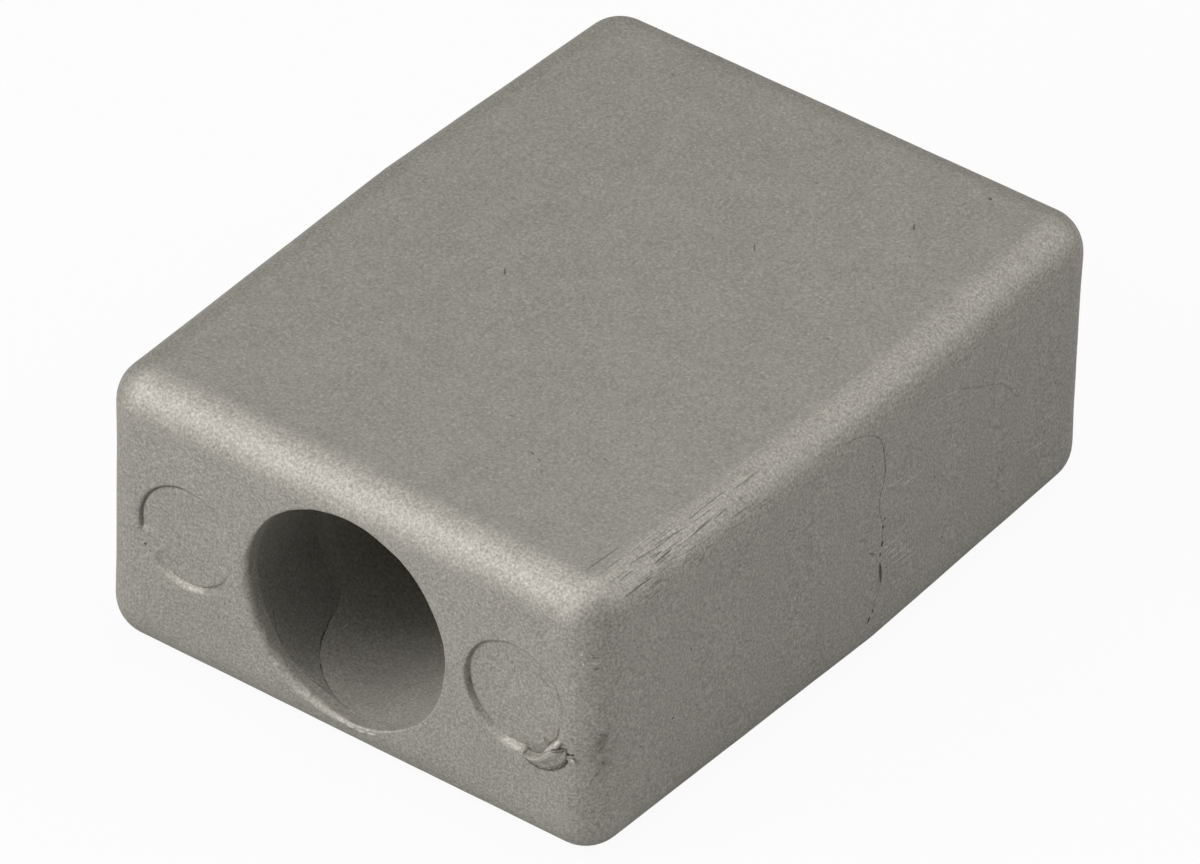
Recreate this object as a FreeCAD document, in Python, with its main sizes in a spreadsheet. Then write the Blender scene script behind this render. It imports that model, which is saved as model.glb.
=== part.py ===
# Sacrificial block anode, die-cast in one piece from zinc.
#
# The die parts across the block's length. Its front half draws off forwards with
# the core of the bore, and two ejector pins in it push the casting off that core.
# Its rear half draws off to the rear. So both sides taper away from the parting
# plane, and so does the wall of the bore. The top and the bottom are linished
# flat, and every outer edge is rounded.
#
# One bolt holds the block to a bracket by its rear face. Its head and the socket
# that turns it go down the bore and bear on the web of metal that closes it.
#
# Drawing frame: +X across the width, +Y from the front face to the rear face,
# +Z up from the bottom face. The finished block has its origin under its middle.
# Lengths are in millimetres and angles in degrees.

import FreeCAD, Part
import math
import os

import Sketcher

Vector = FreeCAD.Vector

NODE = "anode_block"

# Driving dimensions: alias, value, meaning.
DIMENSIONS = (
    ("block_length", 63.5, "over the two end faces"),
    ("block_height", 24.9, "over the linished top and bottom"),
    ("parting_width", 48.4, "across each half at the parting plane"),
    ("parting_from_front", 34.8, "front face to parting plane"),
    ("front_draft", 1.2, "taper of each side of the front half"),
    ("rear_draft", 1.9, "taper of each side of the rear half"),
    ("die_shift", 0.12, "sideways step between the halves"),
    ("edge_radius", 3.4, "rounding of every outer edge"),
    ("bore_diameter", 18.7, "cored bore at the front face"),
    ("bore_draft", 0.5, "taper of the bore wall"),
    ("web_thickness", 16.0, "metal between the bore and the rear face"),
    ("lip_radius", 0.7, "rounding of the mouth of the bore"),
    ("seat_radius", 0.8, "corner between the bore wall and the bolt seat"),
    ("bolt_hole_diameter", 9.0, "clearance for an 8 mm or 5/16 in bolt"),
    ("pin_diameter", 8.8, "floor of each ejector pin mark"),
    ("pin_flare", 0.2, "run-out of the wall of each pin mark"),
    ("left_pin_across", 15.05, "middle of the face to the left pin mark"),
    ("left_pin_rise", 0.4, "left pin mark over mid height"),
    ("left_pin_depth", 0.30, "depth of the left pin mark"),
    ("right_pin_across", 15.7, "middle of the face to the right pin mark"),
    ("right_pin_rise", 0.8, "right pin mark over mid height"),
    ("right_pin_depth", 0.42, "depth of the right pin mark"),
)

# How far the bore's cutting profile runs out of the metal at both ends.
RUN_OUT = 2.0

# Points closer than this count as one.
NEAR = 1e-4

# Geometry numbers that a sketch uses for its own origin and axes, which end at -1,
# then point numbers for the ends and the centre of a line or an arc, which start
# at 1.
VERTICAL_AXIS, HORIZONTAL_AXIS = range(-2, 0)
ORIGIN = HORIZONTAL_AXIS
START, END, CENTRE = range(1, 4)


def make_sheet(doc):
    """Write the driving dimensions into a spreadsheet and return their values."""
    sheet = doc.addObject("Spreadsheet::Sheet", "Dimensions")
    for row, (alias, value, meaning) in enumerate(DIMENSIONS, start=1):
        sheet.set(f"A{row}", alias)
        sheet.set(f"B{row}", str(value))
        sheet.setAlias(f"B{row}", alias)
        sheet.set(f"C{row}", meaning)
    doc.recompute()
    return {alias: float(sheet.get(alias)) for alias, _, _ in DIMENSIONS}


def add_sketch(body, name, role):
    """Add a sketch that lies on one of the body's own origin planes."""
    plane = next(item for item in body.Origin.OriginFeatures if item.Role == role)
    sketch = body.newObject("Sketcher::SketchObject", name)
    sketch.AttachmentSupport = [(plane, "")]
    sketch.MapMode = "FlatFace"
    return sketch


def relate(sketch, kind, *elements):
    """Add a constraint that has no size."""
    sketch.addConstraint(Sketcher.Constraint(kind, *elements))


def dimension(sketch, name, formula, kind, *elements):
    """Add a constraint that has a size, name it and bind it to a formula."""
    index = sketch.addConstraint(Sketcher.Constraint(kind, *elements))
    sketch.renameConstraint(index, name)
    sketch.setExpression(f"Constraints.{name}", formula)


def add_half(body, size, half, outward, reach, reach_formula):
    """Build one half of the block, from the parting plane out to its end face.

    Its outline in plan is a trapezium, full width at the parting plane and
    narrower at the end face by the draft of its two sides. It is padded to the
    block's height, and all its edges off the parting plane are rounded. The
    halves sit half a die shift to the right (front) and to the left (rear).
    """
    parting_y = size["parting_from_front"]
    end_y = parting_y + outward * reach
    middle = -outward * size["die_shift"] / 2
    draft = math.radians(size[f"{half}_draft"])
    wide = size["parting_width"] / 2
    narrow = wide - reach * math.tan(draft)
    corners = [Vector(middle + wide, parting_y), Vector(middle + narrow, end_y),
               Vector(middle - narrow, end_y), Vector(middle - wide, parting_y)]

    sketch = add_sketch(body, f"{half}_outline", "XY_Plane")
    for start, end in zip(corners, corners[1:] + corners[:1]):
        sketch.addGeometry(Part.LineSegment(start, end), False)
    right_side, end_side, left_side, parting_side = range(4)
    for side in range(4):
        relate(sketch, "Coincident", side, END, (side + 1) % 4, START)
    relate(sketch, "Horizontal", end_side)
    relate(sketch, "Horizontal", parting_side)
    relate(sketch, "Equal", right_side, left_side)
    dimension(sketch, "full_width", "Dimensions.parting_width",
              "Distance", parting_side, 2 * wide)
    dimension(sketch, "side_slope", f"{outward} * (90 + Dimensions.{half}_draft)",
              "Angle", right_side, outward * (math.pi / 2 + draft))
    dimension(sketch, "reach", f"{outward} * ({reach_formula})",
              "DistanceY", right_side, START, right_side, END, outward * reach)
    dimension(sketch, "parting_plane", "Dimensions.parting_from_front",
              "DistanceY", ORIGIN, START, right_side, START, parting_y)
    dimension(sketch, "widest_point",
              f"(Dimensions.parting_width - {outward} * Dimensions.die_shift) / 2",
              "DistanceX", ORIGIN, START, right_side, START, middle + wide)

    pad = body.newObject("PartDesign::Pad", f"{half}_half")
    pad.Profile = sketch
    pad.setExpression("Length", "Dimensions.block_height")
    body.Document.recompute()

    off_parting = [
        f"Edge{number}" for number, edge in enumerate(pad.Shape.Edges, start=1)
        if any(abs(vertex.Y - parting_y) > NEAR for vertex in edge.Vertexes)]
    fillet = body.newObject("PartDesign::Fillet", f"{half}_edges")
    fillet.Base = (pad, off_parting)
    fillet.setExpression("Radius", "Dimensions.edge_radius")
    body.Document.recompute()


def cut_bore(body, size):
    """Turn the stepped bore out of the block, about an axis at mid height.

    The profile has the axis as its horizontal. From the front face, the lip
    rounds into a wall that tapers to the bolt seat, and the bolt hole runs on
    through the web and out of the rear face.
    """
    lip_radius, seat_radius = size["lip_radius"], size["seat_radius"]
    mouth = size["bore_diameter"] / 2
    hole = size["bolt_hole_diameter"] / 2
    seat_y = size["block_length"] - size["web_thickness"]
    exit_y = size["block_length"] + RUN_OUT
    draft = math.radians(size["bore_draft"])

    # Both arcs meet the wall square to its slope. The lip's centre is in the
    # metal, and the seat corner's is in the bore.
    off_wall = Vector(math.sin(draft), math.cos(draft))
    lip_centre = Vector(
        lip_radius, mouth - lip_radius * math.tan(draft) + lip_radius / math.cos(draft))
    corner_y = seat_y - seat_radius
    corner_centre = Vector(
        corner_y, mouth - corner_y * math.tan(draft) - seat_radius / math.cos(draft))
    wall_start = lip_centre - off_wall * lip_radius
    wall_end = corner_centre + off_wall * seat_radius
    lip_arc = Part.ArcOfCircle(
        Part.Circle(lip_centre, Vector(0, 0, 1), lip_radius), math.pi, 1.5 * math.pi - draft)
    corner_arc = Part.ArcOfCircle(
        Part.Circle(corner_centre, Vector(0, 0, 1), seat_radius), 0, math.pi / 2 - draft)
    mouth_point = Vector(0, mouth)

    sketch = add_sketch(body, "bore_profile", "YZ_Plane")
    sketch.setExpression("AttachmentOffset.Base.y", "Dimensions.block_height / 2")
    sketch.addGeometry([
        Part.LineSegment(Vector(-RUN_OUT, 0), Vector(-RUN_OUT, lip_centre.y)),
        Part.LineSegment(Vector(-RUN_OUT, lip_centre.y), Vector(0, lip_centre.y)),
        lip_arc,
        Part.LineSegment(wall_start, wall_end),
        corner_arc,
        Part.LineSegment(Vector(seat_y, corner_centre.y), Vector(seat_y, hole)),
        Part.LineSegment(Vector(seat_y, hole), Vector(exit_y, hole)),
        Part.LineSegment(Vector(exit_y, hole), Vector(exit_y, 0)),
        Part.LineSegment(Vector(exit_y, 0), Vector(-RUN_OUT, 0)),
    ], False)
    front_end, front_run, lip, wall, corner, seat, bolt_hole, rear_end, axis = range(9)
    mouth_mark = sketch.addGeometry(Part.Point(mouth_point), True)

    for first, second in ((front_end, front_run), (seat, bolt_hole), (bolt_hole, rear_end),
                          (rear_end, axis), (axis, front_end)):
        relate(sketch, "Coincident", first, END, second, START)
    relate(sketch, "Perpendicular", front_run, END, lip, START)
    relate(sketch, "Tangent", lip, END, wall, START)
    relate(sketch, "Tangent", wall, END, corner, END)
    relate(sketch, "Tangent", corner, START, seat, START)
    for line in (front_end, seat, rear_end):
        relate(sketch, "Vertical", line)
    for line in (front_run, bolt_hole):
        relate(sketch, "Horizontal", line)
    relate(sketch, "PointOnObject", axis, START, HORIZONTAL_AXIS)
    relate(sketch, "PointOnObject", axis, END, HORIZONTAL_AXIS)
    relate(sketch, "PointOnObject", lip, START, VERTICAL_AXIS)
    relate(sketch, "PointOnObject", mouth_mark, START, VERTICAL_AXIS)
    relate(sketch, "PointOnObject", mouth_mark, START, wall)

    dimension(sketch, "mouth", "Dimensions.bore_diameter / 2",
              "DistanceY", ORIGIN, START, mouth_mark, START, mouth)
    dimension(sketch, "wall_slope", "-Dimensions.bore_draft", "Angle", wall, -draft)
    dimension(sketch, "lip_rounding", "Dimensions.lip_radius", "Radius", lip, lip_radius)
    dimension(sketch, "corner_rounding", "Dimensions.seat_radius",
              "Radius", corner, seat_radius)
    dimension(sketch, "seat_depth", "Dimensions.block_length - Dimensions.web_thickness",
              "DistanceX", ORIGIN, START, seat, END, seat_y)
    dimension(sketch, "hole_radius", "Dimensions.bolt_hole_diameter / 2",
              "DistanceY", ORIGIN, START, bolt_hole, START, hole)
    dimension(sketch, "front_run_out", f"{RUN_OUT}",
              "DistanceX", front_run, START, front_run, END, RUN_OUT)
    dimension(sketch, "rear_run_out", f"Dimensions.block_length + {RUN_OUT}",
              "DistanceX", ORIGIN, START, bolt_hole, END, exit_y)

    groove = body.newObject("PartDesign::Groove", "bore")
    groove.Profile = sketch
    groove.ReferenceAxis = (sketch, ["H_Axis"])
    groove.Angle = 360
    body.Document.recompute()


def cut_pin_mark(body, size, side, across):
    """Sink the round mark of one ejector pin into the front face.

    Its wall runs out a little towards the face, because the metal drew away
    from the pin as it cooled.
    """
    rim = size["pin_diameter"] / 2 + size["pin_flare"]
    centre = Vector(across * size[f"{side}_pin_across"],
                    size["block_height"] / 2 + size[f"{side}_pin_rise"])

    sketch = add_sketch(body, f"{side}_pin_outline", "XZ_Plane")
    circle = sketch.addGeometry(Part.Circle(centre, Vector(0, 0, 1), rim), False)
    dimension(sketch, "rim", "Dimensions.pin_diameter / 2 + Dimensions.pin_flare",
              "Radius", circle, rim)
    dimension(sketch, "across", f"{across} * Dimensions.{side}_pin_across",
              "DistanceX", ORIGIN, START, circle, CENTRE, centre.x)
    dimension(sketch, "height", f"Dimensions.block_height / 2 + Dimensions.{side}_pin_rise",
              "DistanceY", ORIGIN, START, circle, CENTRE, centre.y)

    pocket = body.newObject("PartDesign::Pocket", f"{side}_pin_mark")
    pocket.Profile = sketch
    pocket.setExpression("Length", f"Dimensions.{side}_pin_depth")
    pocket.setExpression(
        "TaperAngle", f"-atan(Dimensions.pin_flare / Dimensions.{side}_pin_depth)")
    body.Document.recompute()


def join_halves(block, rear_body):
    """Cast the rear half onto the front half, which shares its parting plane."""
    casting = block.newObject("PartDesign::Boolean", "casting")
    casting.setObjects([rear_body])
    casting.Type = "Fuse"
    block.Document.recompute()


def check(doc, block):
    """Stop if a feature failed, a cut missed the metal or the block isn't one solid."""
    for item in doc.Objects:
        if {"Invalid", "Error"} & set(item.State):
            raise RuntimeError(f"{item.Label} failed: {item.State}")
    for item in block.Group:
        if item.TypeId in ("PartDesign::Groove", "PartDesign::Pocket"):
            if item.Shape.Volume >= item.BaseFeature.Shape.Volume:
                raise RuntimeError(f"{item.Label} cuts nothing")
    shape = block.Shape
    if shape.isNull() or not shape.isValid() or len(shape.Solids) != 1:
        raise RuntimeError(f"{block.Label} isn't one valid solid")


def main():
    """Build the block, check it and write it out."""
    doc = FreeCAD.newDocument("sacrificial_anode")
    size = make_sheet(doc)

    block = doc.addObject("PartDesign::Body", NODE)
    block.setExpression("Placement.Base.y", "-Dimensions.block_length / 2")
    add_half(block, size, "front", -1, size["parting_from_front"],
             "Dimensions.parting_from_front")
    rear_body = doc.addObject("PartDesign::Body", "rear_die_half")
    add_half(rear_body, size, "rear", 1, size["block_length"] - size["parting_from_front"],
             "Dimensions.block_length - Dimensions.parting_from_front")
    join_halves(block, rear_body)
    cut_bore(block, size)
    cut_pin_mark(block, size, "left", -1)
    cut_pin_mark(block, size, "right", 1)

    check(doc, block)
    os.makedirs("parts", exist_ok=True)
    block.Shape.exportStep(f"parts/{NODE}.step")
    print(f"{NODE}: {block.Shape.Volume:.1f} mm3, {len(block.Shape.Faces)} faces")


main()
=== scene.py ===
"""Looks of a sacrificial block anode, die-cast in one piece from zinc.

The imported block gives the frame. One detailed casting stands in for it at the
same sizes, with the marks that its die, its ejector pins and the linishing belt
left on it. Lengths in the classes are in millimetres, in the frame of the block:
+X across, +Y from the bored front face to the seat face, +Z up from the bottom.
"""

from __future__ import annotations

import logging
import math
import random
from dataclasses import dataclass, field

import bmesh
import bpy
from mathutils import Matrix, Vector, noise
from mathutils.bvhtree import BVHTree

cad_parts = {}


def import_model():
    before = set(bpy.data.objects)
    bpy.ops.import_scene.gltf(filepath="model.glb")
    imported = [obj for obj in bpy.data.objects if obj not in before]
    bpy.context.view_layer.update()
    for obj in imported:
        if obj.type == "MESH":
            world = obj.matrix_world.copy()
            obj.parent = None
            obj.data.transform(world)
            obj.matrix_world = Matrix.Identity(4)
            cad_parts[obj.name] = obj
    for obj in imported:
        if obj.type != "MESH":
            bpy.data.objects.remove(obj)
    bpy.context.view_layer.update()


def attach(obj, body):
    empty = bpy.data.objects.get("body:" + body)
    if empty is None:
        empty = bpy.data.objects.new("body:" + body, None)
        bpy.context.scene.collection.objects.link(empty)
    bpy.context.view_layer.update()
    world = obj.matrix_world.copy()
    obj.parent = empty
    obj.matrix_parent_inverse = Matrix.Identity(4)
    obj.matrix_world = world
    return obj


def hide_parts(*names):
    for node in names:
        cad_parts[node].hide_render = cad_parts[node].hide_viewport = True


LOG = logging.getLogger("anode")

MM = 0.001
NODE = "anode_block"
BODY = "root"
PHOTO_WIDTH = 1200.0
SENSOR_WIDTH = 36.0
# The noise module draws its offsets from the clock unless it gets a seed.
NOISE_SEED = 1
# How near, in millimetres, a vertex counts as on a cut, and two vertices as one.
ON_CUT = 1e-5
MERGED = 1e-4

Point = tuple[float, float, float]


def linear(code: str) -> tuple[float, float, float, float]:
    """Turn an sRGB hex colour into linear light.

    Args:
        code: six hex digits, red first.

    Returns:
        Linear red, green, blue and an alpha of one.
    """
    channels = [int(code[place : place + 2], 16) / 255 for place in (0, 2, 4)]
    red, green, blue = (
        value / 12.92 if value <= 0.04045 else ((value + 0.055) / 1.055) ** 2.4
        for value in channels
    )
    return red, green, blue, 1.0


def add_node(
    tree: bpy.types.NodeTree, kind: str, settings: dict[str, object], inputs: dict[object, object]
) -> bpy.types.Node:
    """Add one shader node with its settings and links.

    Args:
        tree: the node tree that gets it.
        kind: the node's type name.
        settings: its properties by name.
        inputs: its sockets by name or number, each with a value or a socket to link.

    Returns:
        The new node.
    """
    item = tree.nodes.new(kind)
    for name, value in settings.items():
        setattr(item, name, value)
    for key, value in inputs.items():
        if isinstance(value, bpy.types.NodeSocket):
            tree.links.new(value, item.inputs[key])
        else:
            item.inputs[key].default_value = value
    return item


def smooth(low: float, high: float, value: float) -> float:
    """Step smoothly from 0 at low to 1 at high."""
    share = min(1.0, max(0.0, (value - low) / (high - low)))
    return share * share * (3.0 - 2.0 * share)


def along_table(table: tuple[tuple[float, ...], ...], place: float) -> list[float]:
    """Read a table between its rows.

    Args:
        table: rows that start with a place, in rising or falling order.
        place: where to read it.

    Returns:
        The row's other values there, or the nearest row's beyond the ends.
    """
    rows = sorted(table)
    if place <= rows[0][0]:
        return list(rows[0][1:])
    for low, high in zip(rows, rows[1:]):
        if place <= high[0]:
            share = (place - low[0]) / (high[0] - low[0])
            return [a + (b - a) * share for a, b in zip(low[1:], high[1:])]
    return list(rows[-1][1:])


def cut_plane(mesh: bmesh.types.BMesh, faces: list, point: Vector, normal: Vector) -> None:
    """Cut some faces along a plane and keep both sides.

    Args:
        mesh: the mesh they belong to.
        faces: the faces to cut.
        point: a point on the plane.
        normal: the plane's direction.
    """
    edges = {edge for face in faces for edge in face.edges}
    verts = {vert for edge in edges for vert in edge.verts}
    bmesh.ops.bisect_plane(
        mesh, geom=[*verts, *edges, *faces], dist=ON_CUT, plane_co=point, plane_no=normal)


def to_mesh(source: bmesh.types.BMesh, name: str) -> bpy.types.Mesh:
    """Turn a finished bmesh into a mesh and free it.

    Args:
        source: the bmesh, which is used up.
        name: the mesh's name.

    Returns:
        The mesh, with its faces outwards.
    """
    bmesh.ops.recalc_face_normals(source, faces=source.faces)
    mesh = bpy.data.meshes.new(name)
    source.to_mesh(mesh)
    source.free()
    return mesh


def carve(mesh: bpy.types.Mesh, cutter: bpy.types.Mesh, operation: str) -> bpy.types.Mesh:
    """Cut one closed mesh out of another, or join it on.

    The faces that the cutter leaves keep its face attributes. Where the solver
    fails and leaves next to nothing, the mesh stays as it was.

    Args:
        mesh: the mesh that is worked on, which is used up.
        cutter: the mesh that cuts it, which is used up.
        operation: DIFFERENCE or UNION.

    Returns:
        The new mesh.
    """
    block = bpy.data.objects.new("carved", mesh)
    tool = bpy.data.objects.new("cutter", cutter)
    for item in (block, tool):
        bpy.context.scene.collection.objects.link(item)
    boolean = block.modifiers.new("cut", "BOOLEAN")
    boolean.operation = operation
    boolean.solver = "EXACT"
    boolean.object = tool
    graph = bpy.context.evaluated_depsgraph_get()
    result = bpy.data.meshes.new_from_object(block.evaluated_get(graph))
    if len(result.polygons) < len(mesh.polygons) / 2:
        LOG.warning("%s: the cut failed and is left out", cutter.name)
        mesh, result = result, mesh
    for item, used in ((block, mesh), (tool, cutter)):
        bpy.data.objects.remove(item)
        bpy.data.meshes.remove(used)
    return result


def spun(profile: list[tuple[float, float]], steps: int) -> bmesh.types.BMesh:
    """Spin a profile of depth and radius about the Y axis.

    Args:
        profile: pairs of depth and radius, from axis to axis.
        steps: faces round the turn.

    Returns:
        A closed mesh.
    """
    mesh = bmesh.new()
    verts = [mesh.verts.new((0, depth, radius)) for depth, radius in profile]
    edges = [mesh.edges.new(pair) for pair in zip(verts, verts[1:])]
    bmesh.ops.spin(
        mesh, geom=[*verts, *edges], cent=(0, 0, 0), axis=(0, 1, 0), dvec=(0, 0, 0),
        angle=math.tau, steps=steps, use_merge=True, use_duplicate=False)
    bmesh.ops.remove_doubles(mesh, verts=mesh.verts, dist=MERGED)
    return mesh


def add_piece(
    mesh: bpy.types.Mesh, name: str, material: bpy.types.Material, sharp_angle: float
) -> bpy.types.Object:
    """Make a finished mesh one piece of the block.

    Args:
        mesh: the mesh in millimetres, which is turned to metres.
        name: the piece's name.
        material: its material.
        sharp_angle: edges that turn by more degrees than this stay sharp.

    Returns:
        The piece.
    """
    mesh.name = name
    mesh.transform(Matrix.Scale(MM, 4))
    mesh.shade_smooth()
    mesh.set_sharp_from_angle(angle=math.radians(sharp_angle))
    mesh.materials.clear()
    mesh.materials.append(material)
    piece = bpy.data.objects.new(name, mesh)
    bpy.context.scene.collection.objects.link(piece)
    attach(piece, BODY)
    return piece


@dataclass(frozen=True)
class Nick:
    """A scratch, pore or pit: where it starts and ends, its width and its depth.

    Its tone is painted into the colour, from -1, painted shade with some soiling in the nick, to 1,
    a painted highlight with burnish.
    """

    start: Point
    end: Point
    width: float
    depth: float
    tone: float = -0.4


def chain(width: float, depth: float, tone: float, *points: Point) -> tuple[Nick, ...]:
    """Run a line of nicks through some points."""
    return tuple(Nick(start, end, width, depth, tone) for start, end in zip(points, points[1:]))


# Scratches along the near end of the top right edge: painted shade with some soiling in the dark
# ones, painted highlights with burnish on the bright ones.
EDGE_SCRATCHES: tuple[Nick, ...] = (
    Nick((19.76, -28.90, 24.87), (19.98, -25.10, 24.90), 0.17, 0.05, -0.42),
    Nick((22.92, -28.36, 23.54), (23.00, -24.60, 23.54), 0.17, 0.05, -0.42),
    Nick((22.57, -24.04, 24.02), (22.53, -21.83, 24.10), 0.17, 0.05, -0.42),
    Nick((22.67, -19.86, 24.01), (22.59, -17.05, 24.13), 0.16, 0.05, -0.35),
    Nick((21.58, -25.82, 24.63), (21.87, -23.08, 24.52), 0.14, 0.05, -0.25),
    Nick((21.02, -24.05, 24.82), (21.13, -21.40, 24.81), 0.12, 0.04, 0.3),
    Nick((21.59, -23.41, 24.65), (22.03, -19.44, 24.48), 0.12, 0.04, -0.25),
    Nick((21.74, -18.71, 24.62), (21.72, -17.10, 24.65), 0.12, 0.04, -0.25),
    Nick((23.01, -22.46, 23.58), (23.23, -20.11, 23.34), 0.12, 0.04, 0.35),
    Nick((22.71, -16.90, 24.02), (22.71, -15.20, 24.06), 0.12, 0.04, -0.25),
    Nick((22.30, -27.40, 24.25), (22.33, -25.60, 24.25), 0.14, 0.05, 0.4),
    Nick((21.20, -28.60, 24.72), (21.26, -26.40, 24.74), 0.12, 0.05, 0.35),
)

# Draw marks and two faint outlines that the die left on the right side; the bright marks carry
# painted highlights with burnish, the dark outlines and the pit painted shade.
SIDE_MARKS: tuple[Nick, ...] = (
    *chain(0.16, 0.02, 0.2, (23.96, 8.61, 20.06), (23.92, 9.83, 19.87), (23.87, 11.11, 19.66),
           (23.84, 12.01, 19.50), (23.81, 12.98, 19.07)),
    *chain(0.22, 0.03, -0.14, (23.81, 12.98, 19.07), (23.76, 14.53, 18.27), (23.70, 16.36, 17.32),
           (23.65, 17.92, 16.58), (23.62, 18.84, 16.10), (23.58, 19.80, 15.12),
           (23.56, 20.42, 14.28), (23.54, 21.26, 13.35)),
    *chain(0.24, 0.02, -0.1, (23.58, 20.00, 9.11), (23.60, 19.36, 8.55), (23.62, 18.85, 8.02),
           (23.62, 18.62, 6.85), (23.61, 19.16, 5.80), (23.58, 20.08, 4.67)),
    Nick((24.13, 3.36, 15.69), (24.06, 5.53, 15.22), 0.12, 0.025, 0.3),
    Nick((24.17, 2.97, 18.99), (24.09, 4.44, 18.46), 0.10, 0.025, 0.3),
    Nick((23.51, 22.06, 7.39), (23.37, 26.26, 6.62), 0.14, 0.025, 0.3),
    Nick((23.35, 26.80, 11.80), (23.27, 28.67, 12.01), 0.10, 0.025, 0.24),
    Nick((23.43, 24.55, 8.95), (23.33, 27.33, 8.71), 0.10, 0.025, 0.24),
    Nick((24.06, 5.37, 14.56), (23.96, 8.47, 14.38), 0.10, 0.025, 0.24),
    Nick((24.12, 3.61, 9.02), (24.04, 6.03, 8.95), 0.11, 0.025, 0.3),
    Nick((24.11, 3.92, 8.35), (24.02, 6.62, 8.21), 0.11, 0.025, 0.3),
    Nick((24.10, 4.24, 7.68), (23.99, 7.48, 7.49), 0.11, 0.025, 0.24),
    Nick((24.13, 3.28, 9.88), (24.07, 5.03, 9.85), 0.11, 0.025, 0.3),
    Nick((24.06, 5.60, 7.11), (23.97, 8.04, 6.85), 0.10, 0.025, 0.24),
    Nick((24.22, 1.13, 10.78), (24.23, 1.84, 10.27), 0.18, 0.05, -0.4),
)

# The hairline and the pores where the two halves of the die met, darkened with painted shade, and a
# short stretch low down with a painted highlight.
PARTING_LINE: tuple[Nick, ...] = (
    *chain(0.15, 0.05, -0.2, (23.95, -2.01, 22.66), (23.96, -1.47, 22.67), (24.00, -0.90, 22.58),
           (24.11, 0.12, 22.29), (24.18, 0.79, 21.98), (24.22, 1.39, 21.60),
           (24.24, 2.04, 20.92), (24.25, 2.38, 20.22)),
    *chain(0.17, 0.05, -0.28, (24.25, 2.38, 20.22), (24.25, 2.58, 19.21), (24.25, 2.73, 18.28),
           (24.25, 2.79, 17.34), (24.25, 2.63, 16.28)),
    *chain(0.13, 0.04, -0.25, (24.25, 2.63, 16.28), (24.25, 2.36, 15.86), (24.24, 2.23, 15.36),
           (24.24, 2.26, 14.51), (24.25, 2.33, 13.68), (24.25, 2.70, 12.90)),
    *chain(0.11, 0.04, -0.2, (24.25, 2.72, 12.00), (24.25, 2.79, 11.05)),
    *chain(0.11, 0.04, -0.2, (24.26, 2.86, 7.00), (24.25, 2.69, 6.59), (24.25, 2.51, 6.13),
           (24.24, 2.26, 5.41), (24.24, 2.13, 4.95)),
    *chain(0.12, 0.04, 0.3, (24.22, 1.14, 3.55), (24.21, 0.75, 3.42)),
    Nick((24.26, 2.81, 13.01), (24.13, 3.27, 12.77), 0.40, 0.18, -0.5),
    Nick((24.26, 2.81, 12.50), (24.26, 2.82, 12.05), 0.26, 0.14, -0.4),
    Nick((24.26, 2.86, 10.95), (24.25, 2.75, 10.45), 0.30, 0.16, -0.5),
    Nick((24.25, 2.60, 10.01), (24.25, 2.63, 9.52), 0.24, 0.12, -0.35),
    Nick((24.25, 2.61, 9.01), (24.26, 2.86, 7.06), 0.36, 0.2, -0.5),
    Nick((24.24, 2.07, 4.91), (24.24, 1.97, 4.54), 0.22, 0.1, -0.4),
    Nick((24.23, 1.70, 4.41), (24.23, 1.44, 3.85), 0.28, 0.13, -0.5),
)

# Pits and small nicks in the linished top, darkened with painted shade.
TOP_PITS: tuple[Nick, ...] = (
    Nick((2.24, 26.17, 24.90), (2.55, 26.51, 24.90), 0.18, 0.07),
    Nick((13.16, 21.32, 24.90), (13.61, 20.61, 24.90), 0.20, 0.09),
    Nick((15.63, 27.56, 24.90), (15.93, 27.47, 24.90), 0.26, 0.13, -0.7),
    Nick((-7.55, -2.68, 24.90), (-6.98, -3.44, 24.90), 0.20, 0.09),
    Nick((-14.64, 18.83, 24.90), (-14.18, 19.37, 24.90), 0.14, 0.05),
    Nick((-10.49, 11.57, 24.90), (-9.84, 11.60, 24.90), 0.14, 0.04),
    Nick((5.21, 11.67, 24.90), (5.92, 10.76, 24.90), 0.14, 0.04),
    Nick((3.91, -17.19, 24.90), (4.35, -17.16, 24.90), 0.18, 0.08),
    Nick((7.80, -19.74, 24.90), (8.33, -19.94, 24.90), 0.20, 0.09),
    Nick((8.80, -20.19, 24.90), (9.18, -20.20, 24.90), 0.18, 0.08),
    Nick((11.73, -14.99, 24.90), (12.05, -15.05, 24.90), 0.18, 0.08),
    Nick((13.41, -14.27, 24.90), (13.73, -14.32, 24.90), 0.16, 0.07),
    Nick((12.65, -17.08, 24.90), (12.97, -17.14, 24.90), 0.16, 0.07),
    *chain(0.12, 0.03, -0.3, (14.26, 24.79, 24.90), (14.69, 26.13, 24.90),
           (15.18, 27.02, 24.90), (15.77, 27.50, 24.90)),
    Nick((15.95, 10.62, 24.90), (16.05, 10.86, 24.90), 0.12, 0.04),
    Nick((16.76, 5.20, 24.90), (16.78, 5.54, 24.90), 0.12, 0.04),
    Nick((9.79, -21.12, 24.90), (10.12, -21.32, 24.90), 0.14, 0.06),
    Nick((5.96, -18.54, 24.90), (6.23, -18.64, 24.90), 0.14, 0.06),
)
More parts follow.
